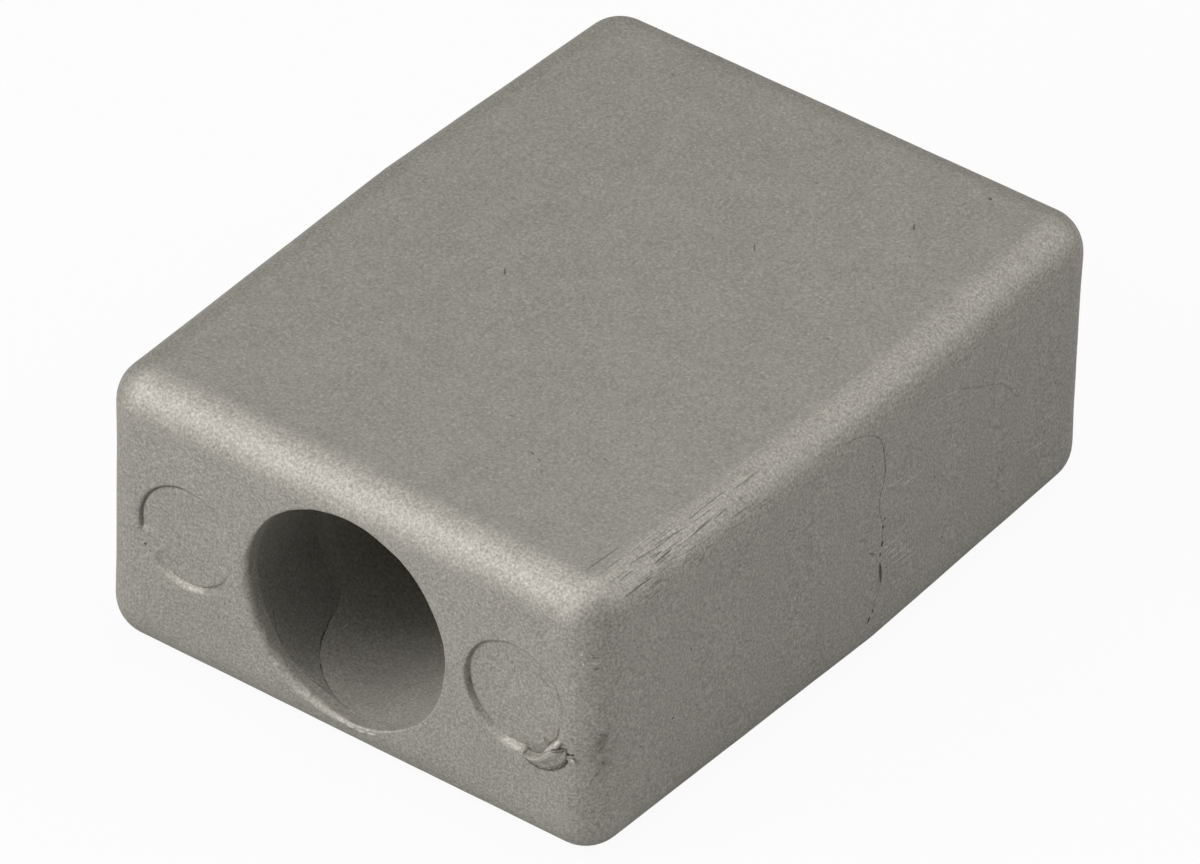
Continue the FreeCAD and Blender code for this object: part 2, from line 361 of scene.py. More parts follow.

# The front face: the scuffed low right corner with ripples above it, a crack beside
# the flake of flash, the gap along its low border, specks on the left pin's rim and
# rubbed spots on the low rim of the bore. Painted shade darkens the nicks, the ripples,
# the crack and the dark specks, a painted shadow fills the gap under the flake's border,
# and painted highlights with burnish brighten the bright specks and the rubbed spots.
FRONT_MARKS: tuple[Nick, ...] = (
    *chain(0.16, 0.04, -0.22, (22.70, -30.60, 12.18), (22.99, -30.25, 12.15),
           (23.18, -29.93, 11.77), (23.16, -29.96, 11.45)),
    *chain(0.15, 0.04, -0.25, (22.84, -30.44, 8.83), (22.56, -30.75, 8.22), (22.33, -30.96, 7.52)),
    Nick((22.66, -30.64, 11.39), (22.95, -30.30, 11.60), 0.20, 0.04, -0.2),
    Nick((22.73, -30.57, 10.63), (23.04, -30.16, 11.09), 0.20, 0.04, -0.2),
    Nick((22.93, -30.32, 9.64), (23.03, -30.18, 9.32), 0.24, 0.06, -0.3),
    Nick((22.19, -31.07, 19.34), (22.68, -30.63, 19.36), 0.22, 0.03, -0.3),
    Nick((22.14, -31.10, 18.88), (22.69, -30.62, 18.85), 0.22, 0.03, 0.3),
    Nick((22.27, -31.01, 18.37), (22.75, -30.55, 18.37), 0.22, 0.03, -0.3),
    Nick((21.56, -31.44, 19.68), (21.61, -31.42, 19.50), 0.16, 0.03, 1.0),
    Nick((21.68, -31.38, 18.82), (21.73, -31.35, 18.65), 0.16, 0.03, 1.0),
    *chain(0.22, 0.12, -0.7, (20.15, -31.75, 10.02), (20.56, -31.75, 10.09),
           (21.08, -31.75, 10.08), (21.36, -31.75, 10.18)),
    *chain(0.26, 0.12, -0.6, (16.92, -31.75, 8.85), (16.84, -31.75, 8.10),
           (17.14, -31.75, 7.88), (17.80, -31.75, 7.66), (18.52, -31.75, 7.64),
           (19.27, -31.75, 7.90), (19.69, -31.75, 8.16), (20.21, -31.75, 8.55),
           (20.61, -31.75, 8.99), (20.80, -31.75, 9.55)),
    Nick((-18.97, -31.75, 10.62), (-18.84, -31.75, 10.45), 0.26, 0.12, -0.7),
    Nick((-18.60, -31.75, 10.21), (-18.31, -31.75, 9.88), 0.16, 0.08, -0.6),
    Nick((-19.66, -31.75, 11.59), (-19.33, -31.75, 12.13), 0.14, 0.05, -0.4),
    Nick((-14.81, -31.75, 9.02), (-14.62, -31.75, 8.55), 0.14, 0.04, 0.8),
    Nick((1.20, -31.75, 2.80), (2.00, -31.75, 2.93), 0.34, 0.05, 0.6),
    Nick((2.20, -31.75, 3.00), (3.10, -31.75, 3.24), 0.28, 0.05, 0.45),
    Nick((0.30, -31.75, 2.78), (1.00, -31.75, 2.82), 0.2, 0.05, 0.5),
)


@dataclass(frozen=True)
class Patch:
    """A stretch of a turn: its middle and half width in degrees, and an amount."""

    angle: float
    spread: float
    amount: float

    def share(self, angle: float) -> float:
        """How much of the amount applies at an angle in degrees."""
        away = abs((angle - self.angle + 180.0) % 360.0 - 180.0)
        return self.amount * (1.0 - smooth(self.spread * 0.5, self.spread, away))


@dataclass(frozen=True)
class PinMark:
    """The shallow disc that one ejector pin pressed into the front face.

    A flare widens the wall of the disc, a bulge widens its floor too, and a fill
    lifts its floor towards the face, where the metal clung to the pin or ran round
    it. The pin's edge left a fine groove round the floor.
    """

    across: float
    rise: float
    depth: float
    flares: tuple[Patch, ...]
    bulges: tuple[Patch, ...]
    fills: tuple[Patch, ...]
    # Where painted shade darkens the groove and the wall.
    painted_shade: tuple[Patch, ...]
    floor_radius: float = 4.4
    rim_radius: float = 4.6
    groove: float = 0.07
    steps: int = 120

    def profile(self) -> list[tuple[float, float]]:
        """List the disc's outline, out over the face and back over its floor.

        Returns:
            Pairs of depth and radius, from axis to axis.
        """
        rim, floor, deep = self.rim_radius, self.floor_radius, self.depth
        return [(-1.0, 0.0), (-1.0, rim + 0.22), (0.0, rim + 0.22), (0.012, rim + 0.1),
                (0.05, rim), (deep * 0.5, (rim + floor) / 2), (deep * 0.92, floor + 0.03),
                (deep + self.groove, floor - 0.04), (deep + self.groove, floor - 0.1),
                (deep, floor - 0.19), (deep, 3.7), (deep, 3.0), (deep, 2.1), (deep, 1.1),
                (deep, 0.0)]

    def worn(self, spot: Vector) -> Vector:
        """Move one point of the spun disc to where the worn pin left it.

        Args:
            spot: the point, with the disc's middle on the face as its origin.

        Returns:
            The moved point.
        """
        radius = math.hypot(spot.x, spot.z)
        if radius < 1e-6:
            return spot
        angle = math.degrees(math.atan2(spot.z, spot.x))
        down = min(1.0, max(0.0, spot.y / self.depth))
        ragged = 0.06 * noise.noise(Vector((spot.x * 0.9, spot.z * 0.9, self.across)))
        ragged += 0.035 * noise.noise(Vector((spot.x * 3.1, spot.z * 3.1, self.across)))
        wider = sum(flare.share(angle) for flare in self.flares) * (1.0 - down)
        wider += sum(bulge.share(angle) for bulge in self.bulges)
        near_rim = smooth(2.6, 4.2, radius)
        grown = (radius + (ragged + wider) * near_rim) / radius
        lift = sum(fill.share(angle) for fill in self.fills) * near_rim
        swell = 0.012 * noise.noise(Vector((spot.x * 0.6, spot.z * 0.6, 7.0)))
        depth = spot.y if spot.y <= 0.0 else spot.y * (1.0 - lift) + swell
        return Vector((spot.x * grown, depth, spot.z * grown))

    def paint_shade(self, mesh: bmesh.types.BMesh) -> None:
        """Paint shade into the groove and onto the wall of the disc, on their faces.

        Args:
            mesh: the worn disc, before it is put in its place.
        """
        tone = mesh.faces.layers.float.new("tone")
        for face in mesh.faces:
            spot = face.calc_center_median()
            radius = math.hypot(spot.x, spot.z)
            if not self.floor_radius - 0.2 < radius < self.rim_radius + 0.3 or spot.y < 0.01:
                continue
            share = sum(patch.share(math.degrees(math.atan2(spot.z, spot.x)))
                        for patch in self.painted_shade)
            in_groove = 1.0 - smooth(0.02, 0.12, abs(radius - self.floor_radius + 0.05))
            face[tone] = -share * (0.4 + 0.6 * in_groove)

    def cutter(self, front: float, middle: float) -> bmesh.types.BMesh:
        """Build the worn disc in its place.

        Args:
            front: Y of the front face.
            middle: Z of the block's middle.

        Returns:
            A closed mesh to cut the mark with.
        """
        mesh = spun(self.profile(), self.steps)
        for vert in mesh.verts:
            vert.co = self.worn(vert.co)
        self.paint_shade(mesh)
        bmesh.ops.translate(mesh, vec=(self.across, front, middle + self.rise), verts=mesh.verts)
        return mesh


@dataclass(frozen=True)
class Bore:
    """The cored bore: its lip, its tapering wall, the bolt seat and the bolt hole.

    Two hairlines run in its wall, where the metal met cold. Their points are an
    angle about the axis from +X to +Z and a depth below the front face.
    """

    radius: float = 9.35
    draft: float = 0.5
    depth: float = 47.5
    lip_radius: float = 0.7
    lip_rounding: Patch = Patch(-140.0, 75.0, 0.75)
    least_lip: float = 0.25
    seat_radius: float = 0.8
    bolt_hole_radius: float = 4.5
    run_out: float = 2.0
    steps: int = 160
    rows: int = 70
    lip_steps: int = 8
    seat_steps: int = 6
    line_depth: float = 0.05
    line_width: float = 0.13
    # Where the fleck of metal stands on the wall, its half lengths, and the painted highlight that
    # brightens it.
    fleck: tuple[float, float] = (-125.8, 7.3)
    fleck_reach: Point = (0.26, 0.08, 0.1)
    fleck_highlight: float = 0.7
    # Tones of the cored skin, darker partly as a duller skin and partly as painted shade
    # inside the bore, of the painted shade in the hairline round the lip, and of the mouth's
    # side of the seam, a darker skin with painted shade on the shallow left and low wall,
    # which is darkest between these angles.
    cored_skin_and_shade: float = -0.07
    lip_line_shade: float = -0.42
    mouth_skin_and_shade: float = -0.25
    mouth_angles: tuple[float, float] = (-260.0, -75.0)
    # Depth, then the painted shade in the seam there.
    seam_shade: tuple[tuple[float, float], ...] = (
        (1.0, -0.2), (1.9, -0.4), (3.0, -0.65), (6.0, -0.65), (7.4, -0.3), (9.8, -0.1))
    lip_line: tuple[tuple[float, float], ...] = (
        (-163.0, 2.3), (-156.4, 2.1), (-149.5, 1.83), (-143.2, 1.49), (-136.7, 1.36),
        (-123.9, 1.42), (-112.1, 1.46), (-104.9, 1.73))
    seam: tuple[tuple[float, float], ...] = (
        (-85.8, 1.12), (-92.0, 1.26), (-98.7, 1.45), (-104.9, 1.73), (-110.9, 2.18),
        (-117.9, 2.90), (-122.5, 3.64), (-126.7, 4.41), (-129.0, 5.03), (-130.8, 5.80),
        (-132.6, 6.29), (-134.6, 7.41), (-136.4, 7.83), (-138.1, 8.30), (-140.0, 8.68),
        (-141.9, 9.10), (-144.6, 9.72))

    def wall(self, depth: float) -> float:
        """Radius of the wall at a depth."""
        return self.radius - depth * math.tan(math.radians(self.draft))

    def profile(self, length: float) -> list[tuple[float, float]]:
        """List the bore's outline through its lip, wall, seat and bolt hole.

        Args:
            length: the block's length.

        Returns:
            Pairs of depth and radius, from axis to axis.
        """
        lip_out = self.radius + self.lip_radius
        profile = [(-self.run_out, 0.0), (-self.run_out, lip_out)]
        for step in range(self.lip_steps + 1):
            turn = math.radians(90 * step / self.lip_steps)
            profile.append((self.lip_radius * (1 - math.cos(turn)),
                            lip_out - self.lip_radius * math.sin(turn)))
        wall_end = self.depth - self.seat_radius
        for step in range(1, self.rows + 1):
            depth = self.lip_radius + (wall_end - self.lip_radius) * step / self.rows
            profile.append((depth, self.wall(depth)))
        seat_out = self.wall(wall_end) - self.seat_radius
        for step in range(1, self.seat_steps + 1):
            turn = math.radians(90 * step / self.seat_steps)
            profile.append((wall_end + self.seat_radius * math.sin(turn),
                            seat_out + self.seat_radius * math.cos(turn)))
        far = length + self.run_out
        return [*profile, (self.depth, self.bolt_hole_radius), (far, self.bolt_hole_radius),
                (far, 0.0)]

    def uneven(self, spot: Vector) -> Vector:
        """Move one point of the spun bore to where the worn core left it.

        Args:
            spot: the point, with the mouth's middle as its origin.

        Returns:
            The moved point.
        """
        radius = math.hypot(spot.x, spot.z)
        if radius < 1.0 or spot.y > self.depth - self.seat_radius:
            return spot
        if spot.y <= self.lip_radius + 1e-6:
            angle = math.degrees(math.atan2(spot.z, spot.x))
            share = self.least_lip + self.lip_rounding.share(angle)
            share *= 1.0 + 0.5 * noise.noise(Vector((spot.x * 0.8, 3.0, spot.z * 0.8)))
            moved = self.radius + (radius - self.radius) * share + self.out_of_round(spot)
            deeper = spot.y * share if spot.y > 0.0 else spot.y
        else:
            swell = 0.03 * noise.noise(spot * 0.35) + 0.012 * noise.noise(spot)
            moved = radius + swell * smooth(self.lip_radius, 2.0, spot.y)
            moved += self.out_of_round(spot) * (1.0 - smooth(1.5, 6.0, spot.y))
            deeper = spot.y
        return Vector((spot.x * moved / radius, deeper, spot.z * moved / radius))

    def out_of_round(self, spot: Vector) -> float:
        """How far the mouth swerves from its circle at a point."""
        way = Vector((spot.x, 0.0, spot.z)).normalized()
        return 0.11 * noise.noise(way * 2.6 + Vector((4.0, 0.0, 1.0)))

    def on_wall(self, angle: float, depth: float) -> Vector:
        """Find the point of the wall at an angle in degrees and a depth."""
        turn, radius = math.radians(angle), self.wall(depth)
        return Vector((math.cos(turn) * radius, depth, math.sin(turn) * radius))

    def cut_line(self, mesh: bmesh.types.BMesh, line: tuple[tuple[float, float], ...]) -> None:
        """Cut a hairline into the wall.

        Args:
            mesh: the bore's cutter, with the mouth's middle as its origin.
            line: the points of the hairline.
        """
        deep: set = set()
        spots = [self.on_wall(*point) for point in line]
        for start, end in zip(spots, spots[1:]):
            middle = (start + end) / 2
            radial = Vector((middle.x, 0, middle.z)).normalized()
            along = (end - start).normalized()
            normal = along.cross(radial).normalized()
            reach = (end - start).length / 2
            for offset in (-self.line_width / 2, 0.0, self.line_width / 2):
                near = [face for face in mesh.faces
                        if (face.verts[0].co - middle).length < reach + 1.2]
                cut_plane(mesh, near, middle + normal * offset, normal)
            for vert in mesh.verts:
                away = vert.co - middle
                if (away.length < reach + 0.5 and abs(away.dot(normal)) < 0.01
                        and abs(away.dot(along)) < reach + 0.02):
                    deep.add(vert)
        for vert in deep:
            radius = math.hypot(vert.co.x, vert.co.z)
            depth = self.line_depth * (1.0 + 0.8 * noise.noise(vert.co * 1.3))
            vert.co.x *= 1.0 + depth / radius
            vert.co.z *= 1.0 + depth / radius

    def off_line(self, spot: Vector, line: tuple[tuple[float, float], ...]) -> float:
        """Measure how far a point of the wall is from a hairline.

        Args:
            spot: the point, with the mouth's middle as its origin.
            line: the points of the hairline.

        Returns:
            The distance to its nearest piece.
        """
        spots = [self.on_wall(*point) for point in line]
        nearest = math.inf
        for start, end in zip(spots, spots[1:]):
            step = end - start
            share = max(0.0, min(1.0, (spot - start).dot(step) / step.length_squared))
            nearest = min(nearest, (spot - start - step * share).length)
        return nearest

    def shade(self, mesh: bmesh.types.BMesh) -> None:
        """Keep how each face looks: cored skin with painted shade inside the bore, painted shade in
        the hairlines, and a darker skin with painted shade on the mouth's side of the seam.

        Args:
            mesh: the bore's cutter, with the mouth's middle as its origin.
        """
        cored = mesh.faces.layers.float.new("cored")
        tone = mesh.faces.layers.float.new("tone")
        deepest = self.seam[-1][1]
        first, last = self.mouth_angles
        by_depth = tuple((depth, angle) for angle, depth in self.seam)
        for face in mesh.faces:
            spot = face.calc_center_median()
            face[cored] = smooth(0.2, 1.4, spot.y)
            # The cored skin is darker, partly as a duller skin and partly as painted shade inside
            # the bore.
            face[tone] = self.cored_skin_and_shade * smooth(0.5, 2.5, spot.y)
            angle = math.degrees(math.atan2(spot.z, spot.x))
            angle -= 360.0 if angle > 0.0 else 0.0
            if not 0.1 < spot.y < deepest + 1.0 or not first < angle < last:
                continue
            beside = along_table(by_depth, spot.y)[0]
            mouth_side = angle < beside
            ragged = 1.0 + 0.9 * noise.noise(spot * 2.3)
            # Painted shade in the seam and in the hairline round the lip, and on the mouth's side a
            # darker skin with painted shade.
            if self.off_line(spot, self.seam) < self.line_width * 0.55:
                face[tone] = along_table(self.seam_shade, spot.y)[0] * ragged
            elif self.off_line(spot, self.lip_line) < self.line_width * 0.55:
                face[tone] = self.lip_line_shade * ragged
            elif mouth_side and spot.y > 1.3:
                share = smooth(first, first + 60.0, angle) * (1.0 - smooth(8.0, deepest, spot.y))
                face[tone] += self.mouth_skin_and_shade * share

    def fleck_drop(self, front: float, middle: float) -> bmesh.types.BMesh:
        """Shape the fleck of metal on the wall, brightened with a painted highlight.

        Args:
            front: Y of the front face.
            middle: Z of the bore's axis.

        Returns:
            A closed mesh.
        """
        mesh = bmesh.new()
        spot = self.on_wall(*self.fleck)
        inward = Vector((-spot.x, 0, -spot.z)).normalized()
        along = Vector((0, 1, 0))
        turn = Matrix((along, inward.cross(along), inward)).transposed().to_4x4()
        place = Matrix.Translation(spot + Vector((0, front, middle)))
        bmesh.ops.create_icosphere(
            mesh, subdivisions=2, radius=1.0,
            matrix=place @ turn @ Matrix.Diagonal((*self.fleck_reach, 1.0)))
        tone = mesh.faces.layers.float.new("tone")
        for face in mesh.faces:
            face[tone] = self.fleck_highlight
        return mesh

    def cutter(self, front: float, middle: float, length: float) -> bmesh.types.BMesh:
        """Build the bore in its place.

        Args:
            front: Y of the front face.
            middle: Z of the bore's axis.
            length: the block's length.

        Returns:
            A closed mesh to cut the bore with.
        """
        mesh = spun(self.profile(length), self.steps)
        for vert in mesh.verts:
            vert.co = self.uneven(vert.co)
        self.cut_line(mesh, self.lip_line)
        self.cut_line(mesh, self.seam)
        self.shade(mesh)
        bmesh.ops.translate(mesh, vec=(0, front, middle), verts=mesh.verts)
        return mesh


@dataclass(frozen=True)
class CastZinc:
    """Anode zinc as it comes from the die: warm mid grey, dull and finely frosted.

    The melt freezes against the steel, so the skin is a frosted grey with small
    grains and no clear reflection; each grain that catches the light is a painted
    glint in the colour. The real grain is finer than a pixel, so it is drawn at the
    smallest size that shows. The faces' tone paints shade into nicks and hollows and
    highlights onto bright marks.
    The core's wash leaves the bore duller still, and the belt draws faint lines
    along the top.
    """

    pale: str = "b9b5ad"
    dark: str = "7e7b74"
    scuffed: str = "77736b"
    # The tone darkens towards the first of these two colours, painted shade with some soiling, and
    # brightens towards the second, a painted highlight with burnish, which the painted glint uses
    # too.
    shade_and_grime: str = "2e2b27"
    highlight_and_burnish: str = "d6d2ca"
    roughness: float = 0.6
    cored_roughness: float = 0.75
    metallic: float = 0.55
    cored_metallic: float = 0.2
    grain_mm: float = 0.21
    grain_relief: float = 0.008
    belt_levels: float = 0.36
    mottle_mm: float = 3.0
    blotch_mm: float = 0.8
    fleck_mm: float = 0.24
    streak_mm: float = 0.28
    streak_length_mm: float = 9.0
    noise_roughness: float = 0.55
    # What share of the colour's noise comes from the mottle and from the belt's lines,
    # and the noise at which the colour is all dark and all pale.
    mottle_share: float = 0.12
    streak_share: float = -0.08
    shade_range: tuple[float, float] = (0.28, 0.84)
    # How far up a skin faces where the belt starts to reach it and where it reaches it fully.
    belt_range: tuple[float, float] = (0.95, 0.998)
    # The noise at which a grain starts to show a painted glint and shows it fully, and how bright
    # that painted highlight is.
    painted_glint_range: tuple[float, float] = (0.66, 0.76)
    painted_glint_share: float = 0.22
    # The noise at which a scuffed place is clean and fully scuffed.
    scuff_range: tuple[float, float] = (0.62, 0.38)
    streak_relief: float = 0.25
    relief_strength: float = 0.7

    def make(self) -> bpy.types.Material:
        """Build the material's nodes.

        Returns:
            The material, which reads the faces' tone and cored and the points' scuff.
        """
        material = bpy.data.materials.new("cast_zinc_skin")
        material.use_nodes = True
        tree = material.node_tree
        shader = tree.nodes["Principled BSDF"]
        place = add_node(tree, "ShaderNodeTexCoord", {}, {})
        in_mm = add_node(
            tree, "ShaderNodeVectorMath", {"operation": "SCALE"},
            {0: place.outputs["Object"], "Scale": 1 / MM})
        grain, mottle, blotch, fleck = (
            add_node(
                tree, "ShaderNodeTexNoise", {},
                {"Vector": in_mm.outputs[0], "Scale": 1 / size, "Detail": detail,
                 "Roughness": self.noise_roughness})
            for size, detail in (
                (self.grain_mm, 2.0), (self.mottle_mm, 3.0), (self.blotch_mm, 2.0),
                (self.fleck_mm, 0.0)))
        lengthwise = add_node(
            tree, "ShaderNodeVectorMath", {"operation": "MULTIPLY"},
            {0: in_mm.outputs[0],
             1: (1 / self.streak_mm, 1 / self.streak_length_mm, 1 / self.streak_mm)})
        streaks = add_node(
            tree, "ShaderNodeTexNoise", {},
            {"Vector": lengthwise.outputs[0], "Scale": 1.0, "Detail": 2.0})
        facing = add_node(tree, "ShaderNodeSeparateXYZ", {}, {0: place.outputs["Normal"]})
        belted = add_node(
            tree, "ShaderNodeMapRange", {},
            {"Value": facing.outputs["Z"],
             "From Min": self.belt_range[0], "From Max": self.belt_range[1]})
        streaked = add_node(
            tree, "ShaderNodeMath", {"operation": "MULTIPLY"},
            {0: streaks.outputs["Fac"], 1: belted.outputs[0]})
        levelled = add_node(
            tree, "ShaderNodeMath", {"operation": "MULTIPLY"},
            {0: belted.outputs[0], 1: self.belt_levels})
        grain = add_node(
            tree, "ShaderNodeMix", {"data_type": "FLOAT"},
            {0: levelled.outputs[0], 2: grain.outputs["Fac"], 3: 0.5})
        shade = add_node(
            tree, "ShaderNodeMath", {"operation": "MULTIPLY_ADD"},
            {0: mottle.outputs["Fac"], 1: self.mottle_share, 2: grain.outputs[0]})
        shade = add_node(
            tree, "ShaderNodeMath", {"operation": "MULTIPLY_ADD"},
            {0: streaked.outputs[0], 1: self.streak_share, 2: shade.outputs[0]})
        ramp = add_node(
            tree, "ShaderNodeMapRange", {},
            {"Value": shade.outputs[0],
             "From Min": self.shade_range[0], "From Max": self.shade_range[1]})
        colour = add_node(
            tree, "ShaderNodeMix", {"data_type": "RGBA"},
            {"Factor": ramp.outputs[0], 6: linear(self.dark), 7: linear(self.pale)})
        scuff, tone, cored = (
            add_node(tree, "ShaderNodeAttribute", {"attribute_name": name}, {}).outputs["Fac"]
            for name in ("scuff", "tone", "cored"))
        blotched = add_node(
            tree, "ShaderNodeMapRange", {},
            {"Value": blotch.outputs["Fac"],
             "From Min": self.scuff_range[0], "From Max": self.scuff_range[1]})
        # Painted glint: the brightest grains are mixed towards the highlight colour.
        painted_glints = add_node(
            tree, "ShaderNodeMapRange", {},
            {"Value": fleck.outputs["Fac"], "From Min": self.painted_glint_range[0],
             "From Max": self.painted_glint_range[1], "To Max": self.painted_glint_share})
        scuffs = add_node(
            tree, "ShaderNodeMath", {"operation": "MULTIPLY"}, {0: scuff, 1: blotched.outputs[0]})
        # The tone, below zero, mixes in painted shade with some soiling, and above zero, a painted
        # highlight with burnish.
        shade_and_dirt = add_node(
            tree, "ShaderNodeMath", {"operation": "MULTIPLY"}, {0: tone, 1: -1.0})
        for share, code in ((painted_glints.outputs[0], self.highlight_and_burnish), (scuffs.outputs[0], self.scuffed),
                            (shade_and_dirt.outputs[0], self.shade_and_grime), (tone, self.highlight_and_burnish)):
            colour = add_node(
                tree, "ShaderNodeMix", {"data_type": "RGBA"},
                {"Factor": share, 6: colour.outputs[2], 7: linear(code)})
        height = add_node(
            tree, "ShaderNodeMath", {"operation": "MULTIPLY_ADD"},
            {0: streaked.outputs[0], 1: self.streak_relief, 2: grain.outputs[0]})
        bump = add_node(
            tree, "ShaderNodeBump", {},
            {"Height": height.outputs[0], "Strength": self.relief_strength,
             "Distance": self.grain_relief * MM})
        for socket, plain, bored in (("Metallic", self.metallic, self.cored_metallic),
                                     ("Roughness", self.roughness, self.cored_roughness)):
            level = add_node(
                tree, "ShaderNodeMapRange", {},
                {"Value": cored, "To Min": plain, "To Max": bored})
            tree.links.new(level.outputs[0], shader.inputs[socket])
        tree.links.new(colour.outputs[2], shader.inputs["Base Color"])
        tree.links.new(bump.outputs[0], shader.inputs["Normal"])
        return material


@dataclass
class Casting:
    """The zinc casting: two drafted halves, a cored bore and two ejector pin marks."""

    length: float = 63.5
    height: float = 24.9
    parting_width: float = 48.4
    parting_y: float = 3.05
    front_draft: float = 1.2
    rear_draft: float = 1.9
    die_shift: float = 0.12
    step_width: float = 0.08
    # How far above or below the middle the step starts to die away, and is gone.
    step_fade: tuple[float, float] = (5.0, 9.0)
    edge_radius: float = 3.4
    edge_segments: int = 14
    grid: float = 0.6
    ripple: float = 0.022
    slow_scale: float = 0.12
    quick_scale: float = 0.45
    quick_share: float = 0.45
    sharp_angle: float = 28.0
    # How far off the skin a nick may be placed, and its drop's half length as a share of it.
    snap: float = 0.2
    drop_share: float = 0.55
    # A direction with more than this of X in it faces out of a drafted flat side.
    flat_side: float = 0.9999
    # The rubbed stretches of the top right edge: first and last turn from the top,
    # first and last Y, longest scratch and strength.
    rubbed: tuple[tuple[float, ...], ...] = (
        (8.0, 76.0, -30.0, -12.0, 4.2, 1.0), (62.0, 86.0, 1.0, 28.0, 6.0, 0.6))
    # Tones of the scratches: painted shade with some soiling in the dark ones, painted highlights
    # with burnish on the bright ones.
    rubbed_tones: tuple[float, ...] = (-0.36, -0.26, -0.14, 0.2, 0.34)
    hatch_seed: int = 5
    hatch_turn: float = 2.5
    # How many stray pores are tried, their tones, painted shade in the dark ones and a
    # painted highlight on the bright one, and how clear they stay of the middle of the bore
    # and of a pin mark.
    pits: int = 110
    pit_tones: tuple[float, ...] = (-0.4, -0.25, 0.45)
    pit_seed: int = 24
    bore_clear: float = 10.8
    pin_clear: float = 5.6
    # Where the low corner of the front is scuffed, how far, and how dark.
    scuff_middle: Point = (22.9, -30.3, 10.6)
    scuff_reach: Point = (1.3, 1.1, 2.9)
    scuff_share: float = 0.65
    bore: Bore = field(default_factory=Bore)
    pins: tuple[PinMark, ...] = (
        PinMark(-15.05, 0.4, 0.30,
                (Patch(-92, 62, 0.08), Patch(125, 90, -0.1)),
                (),
                (Patch(-149, 24, 0.8), Patch(0, 44, 0.7), Patch(120, 80, 0.35)),
                (Patch(128, 82, 0.62), Patch(-54, 20, 0.35))),
        PinMark(15.7, 0.8, 0.42,
                (Patch(-108, 40, 0.22), Patch(100, 95, -0.08)),
                (Patch(-62, 16, 0.6), Patch(-70, 60, 0.25)),
                (Patch(5, 36, 0.45), Patch(105, 90, 0.4)),
                (Patch(75, 90, 0.45), Patch(178, 40, 0.3), Patch(-62, 30, 0.4))),
    )
    finish: CastZinc = field(default_factory=CastZinc)

    @property
    def front(self) -> float:
        """Y of the front face."""
        return -self.length / 2

    @property
    def middle(self) -> float:
        """Z of the bore's axis."""
        return self.height / 2

    def half_width(self, y: float) -> float:
        """Half the block's width at a place along it."""
        draft = self.front_draft if y < self.parting_y else self.rear_draft
        return self.parting_width / 2 - abs(y - self.parting_y) * math.tan(math.radians(draft))

    def outward(self, point: Vector) -> Vector:
        """Find the direction that faces out of the block's skin.

        Args:
            point: a point on the skin.

        Returns:
            The direction, which leaves the draft out.
        """
        half = self.half_width(point.y)
        inner = Vector((
            max(-half + self.edge_radius, min(half - self.edge_radius, point.x)),
            max(self.front + self.edge_radius, min(-self.front - self.edge_radius, point.y)),
            max(self.edge_radius, min(self.height - self.edge_radius, point.z))))
        away = point - inner
        return away.normalized() if away.length > 1e-6 else Vector((0, 0, 1))

    def outer_skin(self) -> bmesh.types.BMesh:
        """Build both halves of the block with all their edges rounded.

        Returns:
            The closed skin.
        """
        mesh = bmesh.new()
        bmesh.ops.create_cube(mesh, size=1.0)
        bmesh.ops.scale(
            mesh, vec=(self.parting_width, self.length, self.height), verts=mesh.verts)
        bmesh.ops.translate(mesh, vec=(0, 0, self.middle), verts=mesh.verts)
        cut_plane(mesh, list(mesh.faces), Vector((0, self.parting_y, 0)), Vector((0, 1, 0)))
        for end in (self.front, -self.front):
            narrowed = 2 * self.half_width(end) / self.parting_width
            bmesh.ops.scale(
                mesh, vec=(narrowed, 1, 1),
                verts=[vert for vert in mesh.verts if abs(vert.co.y - end) < 1e-3])
        off_parting = [
            edge for edge in mesh.edges
            if any(abs(vert.co.y - self.parting_y) > 1e-3 for vert in edge.verts)
        ]
        bmesh.ops.bevel(
            mesh, geom=off_parting, offset=self.edge_radius, offset_type="OFFSET",
            segments=self.edge_segments, profile=0.5, affect="EDGES", material=-1)
        return mesh

    def add_grid(self, mesh: bmesh.types.BMesh) -> None:
        """Cut the flats and the rounded edges into a fine even grid.

        Args:
            mesh: the block's skin.
        """
        narrow = self.half_width(-self.front) - self.edge_radius
        spans = (
            (Vector((1, 0, 0)), -narrow, narrow),
            (Vector((0, 1, 0)), self.front + self.edge_radius, -self.front - self.edge_radius),
            (Vector((0, 0, 1)), self.edge_radius, self.height - self.edge_radius),
        )
        for normal, low, high in spans:
            count = max(1, round((high - low) / self.grid))
            for step in range(1, count):
                point = normal * (low + (high - low) * step / count)
                cut_plane(mesh, list(mesh.faces), point, normal)

    def shift_halves(self, mesh: bmesh.types.BMesh) -> None:
        """Set the front half to the right of the rear half by the die shift.

        The step is full on the flat sides and dies away towards the rounded
        edges, where the belt took it off.

        Args:
            mesh: the block's skin.
        """
        for side in (-1, 1):
            point = Vector((0, self.parting_y + side * self.step_width / 2, 0))
            cut_plane(mesh, list(mesh.faces), point, Vector((0, 1, 0)))
        for vert in mesh.verts:
            across = vert.co.y - self.parting_y
            behind = smooth(-self.step_width / 2, self.step_width / 2, across)
            on_side = 1.0 - smooth(*self.step_fade, abs(vert.co.z - self.middle))
            vert.co.x += self.die_shift * (0.5 - behind) * on_side

    def roughen(self, mesh: bmesh.types.BMesh) -> None:
        """Give the skin the slow swell of a casting.

        Args:
            mesh: the block's skin.
        """
        for vert in mesh.verts:
            slow = noise.noise(vert.co * self.slow_scale + Vector((3.0, 8.0, 5.0)))
            quick = noise.noise(vert.co * self.quick_scale + Vector((9.0, 2.0, 4.0)))
            swell = self.ripple * (slow + self.quick_share * quick)
            vert.co += self.outward(vert.co) * swell

